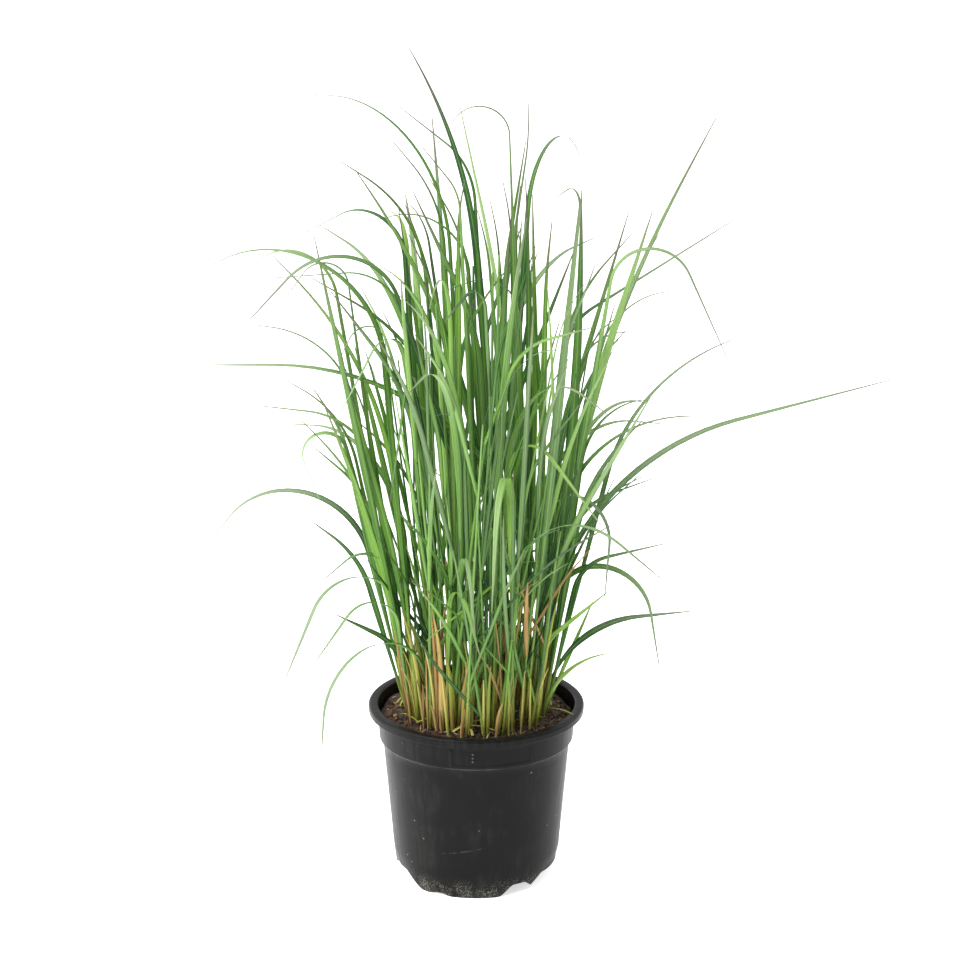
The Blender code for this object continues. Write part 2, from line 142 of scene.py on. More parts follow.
# More single leaves that give the clump its outline, in the same columns without a node's name.
# Their shapes are fitted values, rounded, too.
MORE_LEAVES = (
    (-60, 0, 168, 360, 7, 87, 0.60, 0.85, 5, 0.45, 0.7),
    (-58, 20, 170, 325, 12, 62, 0.70, 0.95, 4, 0.40, 0.8),
    (-60, -5, 186, 295, 5, 43, 0.35, 0.95, 4, 0.50, 0.6),
    (-50, -10, 182, 385, 14, 200, 0.66, 0.82, 6, 0.50, 0.6),
    (-60, -5, 174, 200, 16, 54, 0.60, 0.90, 6, 0.25, 0.6),
    (-58, -15, 188, 220, 6, 130, 0.60, 0.85, 5, 0.30, 0.8),
    (-58, -15, 188, 130, 5, 61, 0.30, 0.70, 6, 0.20, 0.4),
    (-56, -25, 206, 210, 8, 140, 0.45, 0.75, 5, 0.35, 0.6),
    (24, 10, 142, 570, 4, 64, 0.80, 0.90, 5, 0.35, 1.0),
    (-60, -10, 182, 495, 7, 144, 0.80, 0.90, 5, 0.45, 1.0),
    (-38, 30, 172, 495, 4, 96, 0.70, 0.85, 4, 0.35, 1.0),
    (-58, 5, 160, 565, 10, 139, 0.67, 0.84, 4, 0.50, 1.0),
    (-56, 0, 184, 445, 4, 43, 0.45, 0.95, 5, 0.60, 0.8),
    (-10, 30, 176, 435, 4, 60, 0.55, 0.90, 6, 0.30, 0.8),
    (-60, -5, 188, 415, 9, 79, 0.70, 0.95, 6, 0.55, 0.8),
    (-20, -30, 206, 425, 10, 150, 0.85, 0.95, 6, 0.40, 0.9),
    (20, 30, 164, 520, 4, 107, 0.75, 0.93, 5, 0.45, 1.0),
    (-2, 35, 152, 515, 4, 46, 0.80, 0.95, 4, 0.35, 1.0),
    (8, -20, 208, 530, 3, 39, 0.87, 0.93, 4, 0.40, 1.0),
    (20, 30, 170, 480, 4, 31, 0.80, 0.95, 5, 0.45, 0.9),
    (-15, -20, 20, 485, 0, 11, 0.90, 0.97, 8, 0.60, 0.7),
    (-32, 20, 178, 455, 3, 8, 0.70, 0.77, 5, 0.45, 0.9),
    (-15, 45, 194, 455, 3, 20, 0.70, 0.95, 5, 0.35, 0.9),
    (-8, 0, 200, 445, 3, 25, 0.70, 0.95, 6, 0.55, 0.8),
    (-17, -15, 262, 510, 5, 106, 0.70, 0.95, 6, 0.62, 0.5),
    (45, -30, 160, 460, 5, 16, 0.88, 0.97, 6, 0.40, 0.9),
    (50, 35, 150, 450, 5, 14, 0.90, 0.97, 5, 0.30, 0.9),
    (-40, -20, 30, 425, 5, 46, 0.72, 0.94, 5, 0.55, 0.7),
    (-11, -10, 100, 405, 6, -9, 0.90, 0.97, 6, 0.40, 0.8),
    (3, 10, 120, 410, 3, 11, 0.75, 0.80, 7, 0.45, 0.8),
    (10, 20, 40, 505, 3, 12, 0.77, 0.83, 7, 0.50, 0.8),
    (-28, 45, 52, 530, 14, 0, 0.90, 0.97, 4, 0.35, 1.0),
    (48, 0, 100, 475, 3, 19, 0.87, 0.97, 7, 0.30, 0.9),
    (40, -5, 110, 475, 4, 33, 0.88, 0.97, 5, 0.35, 0.9),
    (60, -5, 350, 475, 5, 0, 0.45, 0.95, 11, 0.35, 0.6),
    (27, 30, 6, 455, 4, 16, 0.10, 0.36, 7, 0.45, 0.9),
    (52, -10, 24, 450, 4, 47, 0.70, 0.93, 5, 0.40, 0.9),
    (58, -15, 28, 430, 9, 89, 0.74, 0.96, 4, 0.50, 1.0),
    (-60, 10, 30, 435, 2, 25, 0.05, 0.12, 8, 0.35, 0.8),
    (52, -30, 60, 450, 2, 12, 0.85, 0.93, 8, 0.55, 0.8),
    (48, -15, 110, 475, 6, -16, 0.82, 0.97, 8, 0.40, 0.8),
    (46, 30, 80, 460, 6, -8, 0.65, 0.71, 7, 0.65, 0.8),
    (22, -5, 258, 450, 4, -25, 0.40, 0.97, 9, 0.30, 0.8),
    (0, -20, 350, 375, 3, 15, 0.30, 0.36, 5, 0.50, 0.7),
    (58, 15, 340, 360, 5, 83, 0.45, 0.95, 7, 0.35, 0.9),
    (60, -5, 10, 395, 14, 70, 0.57, 0.97, 5, 0.30, 1.0),
    (60, -10, 358, 185, 4, 83, 0.05, 0.73, 7, 0.20, 0.4),
    (58, -20, 14, 265, 8, 74, 0.60, 0.85, 5, 0.30, 0.6),
    (48, -30, 322, 345, 5, 185, 0.55, 0.85, 6, 0.25, 0.9),
    (53, -30, 350, 150, 6, 48, 0.45, 0.60, 5, 0.80, 0.3),
    (58, -20, 345, 100, 9, 76, 0.05, 0.95, 4, 0.90, 0.0),
    (60, -5, 10, 110, 17, 23, 0.05, 0.10, 4, 0.70, 0.2),
    (13, -40, 318, 380, 5, 130, 0.64, 0.80, 7, 0.75, 0.3),
    (32, -50, 262, 405, 4, 159, 0.50, 0.85, 9, 0.70, 0.4),
    (-26, -50, 290, 220, 5, 135, 0.53, 0.80, 6, 0.60, 0.3),
    (50, -35, 205, 280, -8, 123, 0.45, 0.65, 5, 0.70, 0.3),
    (56, 20, 12, 350, 4, 28, 0.65, 0.95, 6, 0.40, 0.8),
    (58, -20, 354, 295, 9, 42, 0.57, 0.95, 7, 0.35, 0.8),
    (60, 5, 26, 325, 9, 91, 0.70, 0.95, 5, 0.50, 0.8),
    (-53, -20, 178, 365, 4, 14, 0.10, 0.50, 8, 0.55, 0.7),
    (-40, 20, 170, 335, 4, 13, 0.15, 0.20, 7, 0.45, 0.7),
    (-58, -15, 190, 300, 7, 21, 0.05, 0.95, 7, 0.60, 0.6),
)


# ---------------------------------------------------------------- paths and strips


def smooth(share, low, high):
    """0 under low, 1 over high, eased between them."""
    t = np.clip((share - low) / (high - low), 0.0, 1.0)
    return t * t * (3 - 2 * t)


def stations(bend_from, bend_to, straight=12, bend=20, tip=12):
    """Shares of the length that get a cross-section, closest together in the bend."""
    parts = (
        np.linspace(0.0, bend_from, straight, endpoint=False),
        np.linspace(bend_from, bend_to, bend, endpoint=False),
        np.linspace(bend_to, 1.0, tip),
    )
    return np.unique(np.concatenate(parts))


def bent_path(foot, heading, length, leans, bends, shares, sway=0.0):
    """Centre line that is straight, bends on an arc and goes on straight.

    Returns points, tangents and side directions. The sway turns the heading towards the tip.
    """
    turned = np.clip((shares - bends[0]) / (bends[1] - bends[0]), 0.0, 1.0)
    lean = np.radians(leans[0] + (leans[1] - leans[0]) * turned)
    turn = np.radians(heading + sway * shares ** 2)
    forward = np.stack((np.cos(turn), np.sin(turn), np.zeros_like(turn)), axis=1)
    tangent = forward * np.sin(lean)[:, None] + UP * np.cos(lean)[:, None]
    middle = (tangent[1:] + tangent[:-1]) / 2
    steps = middle * (np.diff(shares) * length)[:, None]
    points = np.vstack((np.zeros(3), np.cumsum(steps, axis=0))) + np.asarray(foot)
    side = np.cross(UP, forward)
    return points, tangent, side


def facing_twists(heading, lean_tip=0.0):
    """Turns about a leaf's own length, in degrees, that show its width at the front.

    The first suits its upright part. The second suits its tip, which in an arching leaf shows
    its upper side to the front.
    """
    sideways = math.cos(math.radians(heading))
    arch = ARCH_TWIST * sideways
    upright = 90.0 - heading
    upright += 180.0 * round((arch - upright) / 180.0)
    arching = float(smooth(np.array(abs(lean_tip)), 35.0, 80.0))
    return upright, upright + (arch - upright) * arching


class StripSet:
    """Many leaves or sheaths joined in one mesh, each with a strip of its own in the atlas."""

    ACROSS = np.array((-1.0, -0.55, 0.0, 0.55, 1.0, 0.55, 0.0, -0.55))
    TOP = np.array((0.0, 1.0, 1.0, 1.0, 0.0, -1.0, -1.0, -1.0))
    RING = len(ACROSS)
    ATLAS_MARGIN = 0.05

    def __init__(self):
        self.points = []
        self.data = []
        self.shares = []
        self.rows = []

    def add(self, path, shares, half_width, gutter, thickness, twist, tone, tip, dry, on_culm):
        """One leaf. half_width, gutter, thickness and twist hold a value for each share."""
        points, tangent, side = path
        normal = np.cross(tangent, side)
        normal /= np.linalg.norm(normal, axis=1)[:, None]
        angle = np.radians(twist)[:, None]
        wide = side * np.cos(angle) + normal * np.sin(angle)
        upper = normal * np.cos(angle) - side * np.sin(angle)
        across = self.ACROSS[None, :, None]
        fold = (gutter * half_width)[:, None, None] * np.abs(across)
        keel = np.sqrt(1.0 - across ** 2)
        swell = (thickness / 2)[:, None, None] * keel * self.TOP[None, :, None]
        ring = points[:, None, :] + wide[:, None, :] * across * half_width[:, None, None]
        ring = ring + upper[:, None, :] * fold + upper[:, None, :] * swell
        self.points.append(ring.reshape(-1, 3))
        self.rows.append(len(shares))
        self.shares.append(shares)
        self.data.append((tone, tip, dry, float(on_culm)))

    def build(self, name, material):
        """Joined object with the UV maps and the leaf data as attributes."""
        count = len(self.rows)
        ring = self.RING
        turn = np.arange(ring)
        faces, atlas, strip = [], [], []
        tone, tip, dry, raised, under = [], [], [], [], []
        base = 0
        for index, rows in enumerate(self.rows):
            row = np.arange(rows - 1)[:, None] * ring + base
            quad = np.stack((row + turn, row + (turn + 1) % ring), axis=2)
            quad = np.concatenate((quad, quad[:, :, ::-1] + ring), axis=2).reshape(-1, 4)
            faces.append(quad)
            share = self.shares[index]
            low = np.repeat(share[:-1], ring)
            high = np.repeat(share[1:], ring)
            first = np.tile(turn, rows - 1)
            place = self.ATLAS_MARGIN + (1 - 2 * self.ATLAS_MARGIN) * first / ring
            step = (1 - 2 * self.ATLAS_MARGIN) / ring
            left = (index + place) / count
            right = (index + place + step) / count
            atlas.append(np.stack((left, low, right, low, right, high, left, high), axis=1))
            across = (self.ACROSS + 1) / 2
            left = np.tile(across, rows - 1)
            right = np.tile(np.roll(across, -1), rows - 1)
            strip.append(np.stack((left, low, right, low, right, high, left, high), axis=1))
            size = rows * ring
            tone.append(np.full(size, self.data[index][0]))
            tip.append(np.full(size, self.data[index][1]))
            dry.append(np.full(size, self.data[index][2]))
            raised.append(np.full(size, self.data[index][3]))
            under.append(np.tile((self.TOP < 0).astype(float), rows))
            base += size
        mesh = bpy.data.meshes.new(name)
        points = np.concatenate(self.points)
        faces = np.concatenate(faces)
        caps = []
        base = 0
        for rows in self.rows:
            caps.append([base + k for k in reversed(range(ring))])
            caps.append([base + (rows - 1) * ring + k for k in range(ring)])
            base += rows * ring
        mesh.from_pydata(points.tolist(), [], faces.tolist() + caps)
        corner = len(faces) * 4
        for layer, parts in (("OFBake", atlas), ("UVMap", strip)):
            flat = np.zeros((len(mesh.loops), 2))
            values = np.concatenate(parts).reshape(-1, 2)
            values[:, 1] = 0.002 + 0.996 * values[:, 1] if layer == "OFBake" else values[:, 1]
            flat[:corner] = values
            cap_values = []
            for index in range(count):
                for end in (0.001, 0.999):
                    spot = (index + 0.5) / count if layer == "OFBake" else 0.5
                    cap_values += [(spot, end)] * ring
            flat[corner:] = cap_values
            mesh.uv_layers.new(name=layer).data.foreach_set("uv", flat.ravel())
        mesh.uv_layers.active = mesh.uv_layers["UVMap"]
        values = {"tone": tone, "tip": tip, "dry": dry, "on_culm": raised, "under": under}
        for key, parts in values.items():
            attribute = mesh.attributes.new(key, "FLOAT", "POINT")
            attribute.data.foreach_set("value", np.concatenate(parts))
        return finish_object(name, mesh, material)


def finish_object(name, mesh, material, smooth_angle=None):
    """Link a mesh as a smooth shaded piece with its material."""
    mesh.materials.append(material)
    mesh.validate()
    mesh.update()
    mesh.shade_smooth()
    if smooth_angle is not None:
        mesh.set_sharp_from_angle(angle=math.radians(smooth_angle))
    piece = bpy.data.objects.new(name, mesh)
    bpy.context.scene.collection.objects.link(piece)
    return piece


# ---------------------------------------------------------------- material helpers


class Tree:
    """Short way to write a Principled material's node tree."""

    def __init__(self, name):
        self.material = bpy.data.materials.new(name)
        self.material.use_nodes = True
        self.nodes = self.material.node_tree.nodes
        self.links = self.material.node_tree.links
        self.shader = self.nodes["Principled BSDF"]

    def put(self, kind, settings=None, **inputs):
        """Node with its settings and inputs. An input is a value or another node's output."""
        node = self.nodes.new(kind)
        for key, value in (settings or {}).items():
            setattr(node, key, value)
        for key, value in inputs.items():
            socket = node.inputs[int(key[1:])] if key[1:].isdigit() else node.inputs[key]
            self.wire(value, socket)
        return node

    def wire(self, value, socket):
        if isinstance(value, bpy.types.NodeSocket):
            self.links.new(value, socket)
        else:
            socket.default_value = value

    def set(self, **inputs):
        for key, value in inputs.items():
            self.wire(value, self.shader.inputs[key.replace("_", " ")])

    def attribute(self, name):
        return self.put("ShaderNodeAttribute", {"attribute_name": name}).outputs["Fac"]

    def place(self):
        """Coordinates in the piece's own metres."""
        return self.put("ShaderNodeTexCoord").outputs["Object"]

    def math(self, operation, a, b=0.0):
        return self.put("ShaderNodeMath", {"operation": operation}, _0=a, _1=b).outputs[0]

    def add(self, a, b):
        return self.math("ADD", a, b)

    def times(self, a, b):
        return self.math("MULTIPLY", a, b)

    def gap(self, a, b):
        """Distance between two values."""
        return self.math("ABSOLUTE", self.math("SUBTRACT", a, b))

    def length(self, vector):
        return self.put("ShaderNodeVectorMath", {"operation": "LENGTH"}, _0=vector).outputs["Value"]

    def mix(self, factor, a, b, blend="MIX"):
        """Colour mix. a and b are colours or outputs."""
        node = self.nodes.new("ShaderNodeMix")
        node.data_type = "RGBA"
        node.blend_type = blend
        self.wire(factor, node.inputs["Factor"])
        first, second = [socket for socket in node.inputs if socket.type == "RGBA"]
        self.wire(a, first)
        self.wire(b, second)
        return next(socket for socket in node.outputs if socket.type == "RGBA")

    def ramp(self, value, stops):
        """Colour ramp from (position, colour) stops."""
        node = self.put("ShaderNodeValToRGB")
        elements = node.color_ramp.elements
        while len(elements) < len(stops):
            elements.new(0.5)
        for element, (position, colour) in zip(elements, stops):
            element.position = position
            element.color = (*colour, 1.0)
        self.wire(value, node.inputs["Fac"])
        return node.outputs["Color"]

    def range(self, value, low, high, to_low=0.0, to_high=1.0):
        """Eased step from one value to another while the input goes from low to high."""
        ends = {"_1": low, "_2": high, "_3": to_low, "_4": to_high}
        eased = {"interpolation_type": "SMOOTHSTEP"}
        return self.put("ShaderNodeMapRange", eased, _0=value, **ends).outputs[0]

    def noise(self, vector, scale, detail=2.0, roughness=0.5):
        inputs = {"Scale": scale, "Detail": detail, "Roughness": roughness}
        return self.put("ShaderNodeTexNoise", _0=vector, **inputs).outputs["Fac"]

    def cells(self, vector, scale):
        """Distance to the nearest of a set of scattered points."""
        node = self.put("ShaderNodeTexVoronoi", {"feature": "F1"}, _0=vector, Scale=scale)
        return node.outputs["Distance"]

    def stretched(self, vector, scale):
        return self.put("ShaderNodeMapping", _0=vector, Scale=scale).outputs[0]

    def bump(self, height, strength, distance):
        inputs = {"Strength": strength, "Distance": distance, "Height": height}
        return self.put("ShaderNodeBump", **inputs).outputs[0]


def leaf_coordinates(tree):
    """Strip coordinates with a different offset on every leaf, and the across and along values."""
    uv = tree.put("ShaderNodeUVMap", {"uv_map": "UVMap"}).outputs[0]
    split = tree.put("ShaderNodeSeparateXYZ", _0=uv)
    tone = tree.attribute("tone")
    offset = tree.times(tone, 37.0)
    joined = tree.put("ShaderNodeCombineXYZ", _0=split.outputs[0], _1=split.outputs[1], _2=offset)
    return joined.outputs[0], split.outputs[0], split.outputs[1], tone


def leaf_material():
    tree = Tree("grass_leaf")
    vector, across, along, tone = leaf_coordinates(tree)
    patches = tree.noise(tree.stretched(vector, (1.2, 5.0, 1.0)), 1.0, 3.0)
    shade = tree.add(tone, tree.range(patches, 0.3, 0.7, -0.12, 0.12))
    green = tree.ramp(shade, (
        (0.00, (0.012, 0.052, 0.016)),
        (0.25, (0.032, 0.112, 0.021)),
        (0.50, (0.090, 0.218, 0.026)),
        (0.75, (0.200, 0.385, 0.052)),
        (1.00, (0.360, 0.530, 0.150)),
    ))
    under = tree.attribute("under")
    green = tree.mix(tree.times(under, 0.35), green, (0.22, 0.38, 0.11, 1.0))
    veins = tree.noise(tree.stretched(vector, (16.0, 1.5, 1.0)), 1.0, 2.0, 0.6)
    streak = tree.range(veins, 0.35, 0.65, 0.66, 1.28)
    grey = tree.put("ShaderNodeCombineXYZ", _0=streak, _1=streak, _2=streak).outputs[0]
    green = tree.mix(1.0, green, grey, "MULTIPLY")
    middle = tree.gap(across, 0.5)
    rib = tree.range(middle, 0.02, 0.075, 0.4, 0.0)
    green = tree.mix(rib, green, (0.30, 0.47, 0.13, 1.0))
    low = tree.math("SUBTRACT", 1.0, tree.attribute("on_culm"))
    foot = tree.times(tree.range(along, 0.02, 0.24, 0.85, 0.0), low)
    base = tree.mix(tree.range(veins, 0.35, 0.65), (0.20, 0.26, 0.025, 1.0), (0.42, 0.40, 0.08, 1.0))
    green = tree.mix(foot, green, base)
    place = tree.place()
    level = {"_0": place, "_1": (1.0, 1.0, 0.0)}
    flat = tree.put("ShaderNodeVectorMath", {"operation": "MULTIPLY"}, **level).outputs[0]
    # Paler, greyer colour with distance from the clump's middle: painted light on the open outer blades,
    # with the inner ones left darker as if in shade.
    outer_painted_light = tree.range(tree.length(flat), 0.075, 0.17, 0.0, 0.34)
    green = tree.mix(outer_painted_light, green, (0.42, 0.48, 0.33, 1.0))
    tip = tree.attribute("tip")
    wander = tree.add(along, tree.range(patches, 0.3, 0.7, -0.04, 0.04))
    browned = tree.times(tree.range(wander, 0.82, 1.0), tip)
    green = tree.mix(browned, green, (0.120, 0.095, 0.080, 1.0))
    dry = tree.attribute("dry")
    fibre = tree.noise(tree.stretched(vector, (26.0, 3.0, 1.0)), 1.0, 3.0, 0.6)
    mottle = tree.add(tree.times(tone, 0.6), tree.times(fibre, 0.5))
    straw = tree.ramp(mottle, (
        (0.12, (0.090, 0.045, 0.020)),
        (0.30, (0.300, 0.180, 0.065)),
        (0.46, (0.540, 0.370, 0.130)),
        (0.60, (0.200, 0.240, 0.035)),
        (0.78, (0.300, 0.320, 0.055)),
        (0.90, (0.520, 0.410, 0.140)),
        (1.00, (0.640, 0.550, 0.300)),
    ))
    colour = tree.mix(dry, green, straw)
    height = tree.add(veins, tree.times(rib, 1.5))
    rough = tree.range(patches, 0.3, 0.7, 0.42, 0.58)
    rough = tree.add(rough, tree.times(dry, 0.2))
    tree.set(Base_Color=colour, Roughness=rough, Specular_IOR_Level=0.22)
    tree.set(Normal=tree.bump(height, 0.35, 0.0002))
    return tree.material


def bark_material():
    tree = Tree("bark_bits")
    place = tree.place()
    tone = tree.attribute("tone")
    grain = tree.noise(tree.stretched(place, (900.0, 900.0, 900.0)), 1.0, 3.0, 0.6)
    shade = tree.add(tone, tree.range(grain, 0.3, 0.7, -0.09, 0.09))
    colour = tree.ramp(shade, (
        (0.00, (0.012, 0.007, 0.005)),
        (0.35, (0.070, 0.036, 0.023)),
        (0.55, (0.130, 0.058, 0.034)),
        (0.75, (0.300, 0.200, 0.110)),
        (1.00, (0.560, 0.450, 0.270)),
    ))
    rough = tree.range(grain, 0.3, 0.7, 0.75, 0.95)
    tree.set(Base_Color=colour, Roughness=rough, Specular_IOR_Level=0.3)
    tree.set(Normal=tree.bump(grain, 0.6, 0.0006))
    return tree.material


def mix_material():
    tree = Tree("bark_mix")
    place = tree.place()
    lumps = tree.noise(place, 220.0, 4.0, 0.65)
    fine = tree.noise(place, 1100.0, 3.0, 0.6)
    shade = tree.add(tree.times(lumps, 0.7), tree.times(fine, 0.3))
    colour = tree.ramp(shade, (
        (0.30, (0.006, 0.004, 0.003)),
        (0.50, (0.042, 0.024, 0.015)),
        (0.66, (0.110, 0.060, 0.036)),
        (0.80, (0.200, 0.120, 0.070)),
    ))
    tree.set(Base_Color=colour, Roughness=tree.range(fine, 0.3, 0.7, 0.8, 1.0))
    tree.set(Normal=tree.bump(shade, 0.8, 0.0012))
    return tree.material


def pot_material():
    """Satin black plastic with faint streaks, a scratch and dry dirt along the foot."""
    tree = Tree("black_plastic")
    place = tree.place()
    split = tree.put("ShaderNodeSeparateXYZ", _0=place)
    x, y, z = split.outputs[0], split.outputs[1], split.outputs[2]
    cloud = tree.noise(place, 26.0, 3.0, 0.6)
    streaks = tree.noise(tree.stretched(place, (240.0, 240.0, 9.0)), 1.0, 3.0, 0.6)
    grain = tree.noise(place, 2400.0, 2.0, 0.6)
    dusty = tree.times(tree.range(cloud, 0.42, 0.75), tree.range(streaks, 0.35, 0.75))
    base = tree.mix(dusty, (0.0045, 0.0046, 0.0045, 1.0), (0.017, 0.0175, 0.0165, 1.0))
    rubbed = tree.noise(tree.stretched(place, (60.0, 60.0, 60.0)), 1.0, 5.0, 0.75)
    dots = tree.range(tree.cells(place, 900.0), 0.20, 0.42, 1.0, 0.0)
    low = tree.range(z, 0.003, 0.021, 1.0, 0.0)
    wander = tree.range(rubbed, 0.38, 0.60)
    dust = tree.times(tree.range(z, 0.002, 0.018, 0.8, 0.0), wander)
    base = tree.mix(dust, base, (0.040, 0.038, 0.033, 1.0))
    dirt = tree.times(tree.times(dots, low), wander)
    base = tree.mix(dirt, base, (0.26, 0.25, 0.21, 1.0))
    rare = tree.range(tree.cells(place, 150.0), 0.035, 0.075, 1.0, 0.0)
    rare = tree.times(rare, tree.range(cloud, 0.56, 0.62))
    base = tree.mix(rare, base, (0.42, 0.42, 0.38, 1.0))
    line = tree.times(x, SCRATCH_SLOPE)
    off = tree.gap(z, tree.add(line, SCRATCH_HEIGHT))
    span = tree.times(tree.range(x, -0.034, -0.022), tree.range(x, 0.004, 0.009, 1.0, 0.0))
    front = tree.range(y, -0.050, -0.045, 1.0, 0.0)
    broken = tree.range(tree.noise(place, 330.0, 2.0, 0.5), 0.40, 0.62)
    scratch = tree.times(tree.range(off, 0.0002, 0.0009, 1.0, 0.0), span)
    scratch = tree.times(tree.times(scratch, front), broken)
    base = tree.mix(tree.times(scratch, 0.5), base, (0.07, 0.07, 0.066, 1.0))
    # Thin lighter line along the collar's foot: a painted highlight of its lit edge.
    edge = tree.gap(z, COLLAR_FOOT + 0.0002)
    edge = tree.range(edge, 0.0003, 0.0010, 1.0, 0.0)
    edge = tree.times(edge, tree.range(cloud, 0.35, 0.65, 0.15, 0.9))
    base = tree.mix(edge, base, (0.060, 0.062, 0.061, 1.0))
    # Lighter round spots: on the collar's three raised dots they are painted highlights, and SPECK is one
    # light speck on the wall.
    for across, height in [(DOT_X, height) for height in DOT_HEIGHTS] + [SPECK]:
        sideways = tree.math("SUBTRACT", x, across)
        upward = tree.math("SUBTRACT", z, height)
        flat = tree.put("ShaderNodeCombineXYZ", _0=sideways, _1=upward).outputs[0]
        dot_highlight_and_speck = tree.times(tree.range(tree.length(flat), 0.0004, 0.0011, 0.8, 0.0), front)
        base = tree.mix(dot_highlight_and_speck, base, (0.13, 0.13, 0.125, 1.0))
    rough = tree.add(tree.range(streaks, 0.3, 0.7, 0.30, 0.42), tree.times(dirt, 0.4))
    tree.set(Base_Color=base, Roughness=rough, Specular_IOR_Level=0.10)
    height = tree.add(tree.times(grain, 0.4), tree.add(streaks, dirt))
    tree.set(Normal=tree.bump(height, 0.25, 0.0003))
    return tree.material


def floor_material():
    tree = Tree("studio_floor")
    rough = tree.range(tree.noise(tree.place(), 3.0), 0.3, 0.7, 0.85, 0.95)
    tree.set(Base_Color=(0.95, 0.95, 0.95, 1.0), Roughness=rough, Specular_IOR_Level=0.1)
    tree.set(Emission_Color=(1.0, 1.0, 1.0, 1.0), Emission_Strength=0.60)
    return tree.material


# ---------------------------------------------------------------- leaves, culms and sheaths

BASE_HEIGHT = MIX_TOP - 0.003
SHEATH_HALF_WIDTH = 1.05 * MM
CULM_SWAY = 4.0
CULM_STEPS = 40
DRY_BELOW = MIX_TOP + 0.10
TRIES = 12
LEAF_THICKNESS = 0.45 * MM
FOLDED = 0.82
TIP_HALF_WIDTH = 0.34 * MM


def leaf_half_width(shares, width, opening):
    """Half width that grows from the sheath to the blade and runs out in a fine tip."""
    blade = width * MM / 2 * FOLDED
    sheath = min(SHEATH_HALF_WIDTH, 0.8 * blade)
    grow = smooth(shares, opening[0], opening[1] + 0.05)
    body = sheath + (blade - sheath) * grow
    past = np.clip((shares - 0.4) / 0.6, 0.0, 1.0)
    return body * (1.0 - past ** 2.0) + TIP_HALF_WIDTH


def add_leaf(strips, row, twists, sway, height=None, dry=0.0):
    """One blade on its sheath, from a row without its name."""
    x, y, heading, length, lean_foot, lean_tip, bend_from, bend_to, width, tone, tip = row
    shares = stations(bend_from, bend_to)
    on_culm = height is not None
    foot = (x * MM, y * MM, height if on_culm else BASE_HEIGHT)
    path = bent_path(foot, heading, length * MM, (lean_foot, lean_tip), (bend_from, bend_to), shares, sway)
    opening = (0.0, 0.22) if on_culm else (0.20, 0.50)
    half = leaf_half_width(shares, width, opening)
    flat = smooth(shares, opening[0], opening[1])
    gutter = 0.55 - 0.37 * flat
    thickness = 1.7 * half * (1 - flat) + LEAF_THICKNESS * flat
    thickness = np.minimum(thickness, 1.7 * half)
    twist = twists[0] + (twists[1] - twists[0]) * smooth(shares, 0.15, 0.9)
    strips.add(path, shares, half, gutter, thickness, twist, tone, tip, dry, on_culm)


def add_culm(strips, row, tone, radius):
    """Round stem that thins out a little towards its top."""
    shares = np.linspace(0.0, 1.0, 22)
    path = culm_path(row, shares)
    half = radius * MM * (1.08 - 0.45 * shares)
    joints = 0.06 * np.exp(-((shares[:, None] - np.array((0.18, 0.42, 0.7))) / 0.025) ** 2).sum(axis=1)
    half = half * (1 + joints)
    flat = np.zeros_like(shares)
    strips.add(path, shares, half, flat, 1.9 * half, flat, tone, 0.0, 0.0, False)


def add_sheath(strips, row, sway, curl):
    """Dry leaf sheath, wrapped round its stem at the foot and frayed to a point at the top."""
    x, y, heading, length, lean_foot, lean_tip, bend_from, bend_to, width, tone, tip = row
    shares = np.linspace(0.0, 1.0, 26)
    foot = (x * MM, y * MM, BASE_HEIGHT)
    path = bent_path(foot, heading, length * MM, (lean_foot, lean_tip), (bend_from, bend_to), shares, sway)
    past = np.clip((shares - 0.45) / 0.55, 0.0, 1.0)
    half = width * MM / 2 * (0.75 + 0.25 * smooth(shares, 0.0, 0.3)) * (1 - past ** 1.4) + TIP_HALF_WIDTH
    gutter = 0.7 - 0.3 * shares
    twist = facing_twists(heading)[0] * 0.6 + curl * shares
    thickness = np.full_like(shares, LEAF_THICKNESS)
    strips.add(path, shares, half, gutter, thickness, twist, tone, tip, 1.0, False)


def add_strand(strips, row, raised):
    """Dry strand that lies over the mix or the rim."""
    x, y, heading, length, lean_foot, lean_tip, bend_from, bend_to, width, tone, tip = row
    shares = np.linspace(0.0, 1.0, 18)
    foot = (x * MM, y * MM, MIX_TOP + raised)
    path = bent_path(foot, heading, length * MM, (lean_foot, lean_tip), (bend_from, bend_to), shares, 12.0)
    half = width * MM / 2 * (1 - smooth(shares, 0.6, 1.05)) + TIP_HALF_WIDTH
    flat = np.zeros_like(shares)
    strips.add(path, shares, half, flat + 0.3, flat + LEAF_THICKNESS, flat, tone, tip, 1.0, False)


# ---------------------------------------------------------------- scattered rows

CLUMP_RADIUS = 61.0
FRONT_SHIFT = 4.0
FRONT_TURNS = (215.0, 325.0)
LEFT_FRONT_TURNS = (200.0, 250.0)
BOX_MARGIN = 4 * MM
CROWN_DROP = 150 * MM
CROWN_RADIUS = 0.078
CROWN_SPREAD = 0.084
CROWN_RISE = 0.26


def inside_box(row, height=BASE_HEIGHT):
    """True where the whole blade of a row stays within the CAD box, under the tallest blades."""
    x, y, heading, length, lean_foot, lean_tip, bend_from, bend_to = row[:8]
    shares = np.linspace(0.0, 1.0, 40)
    foot = (x * MM, y * MM, height)
    points, _, _ = bent_path(foot, heading, length * MM, (lean_foot, lean_tip), (bend_from, bend_to), shares)
    low = np.array(CAD_BOX[0]) + BOX_MARGIN
    high = np.array(CAD_BOX[1]) - BOX_MARGIN
    high[2] -= CROWN_DROP
    reach = np.hypot(points[:, 0], points[:, 1])
    over_lip = (reach < LIP_RADIUS + 0.004) & (points[:, 2] < POT_HEIGHT + 0.004) & (shares > 0.3)
    room = CROWN_RADIUS + CROWN_SPREAD * smooth(points[:, 2], MIX_TOP, MIX_TOP + CROWN_RISE)
    in_box = (points > low).all() and (points < high).all()
    return bool(in_box and (reach < room).all() and not over_lip.any())


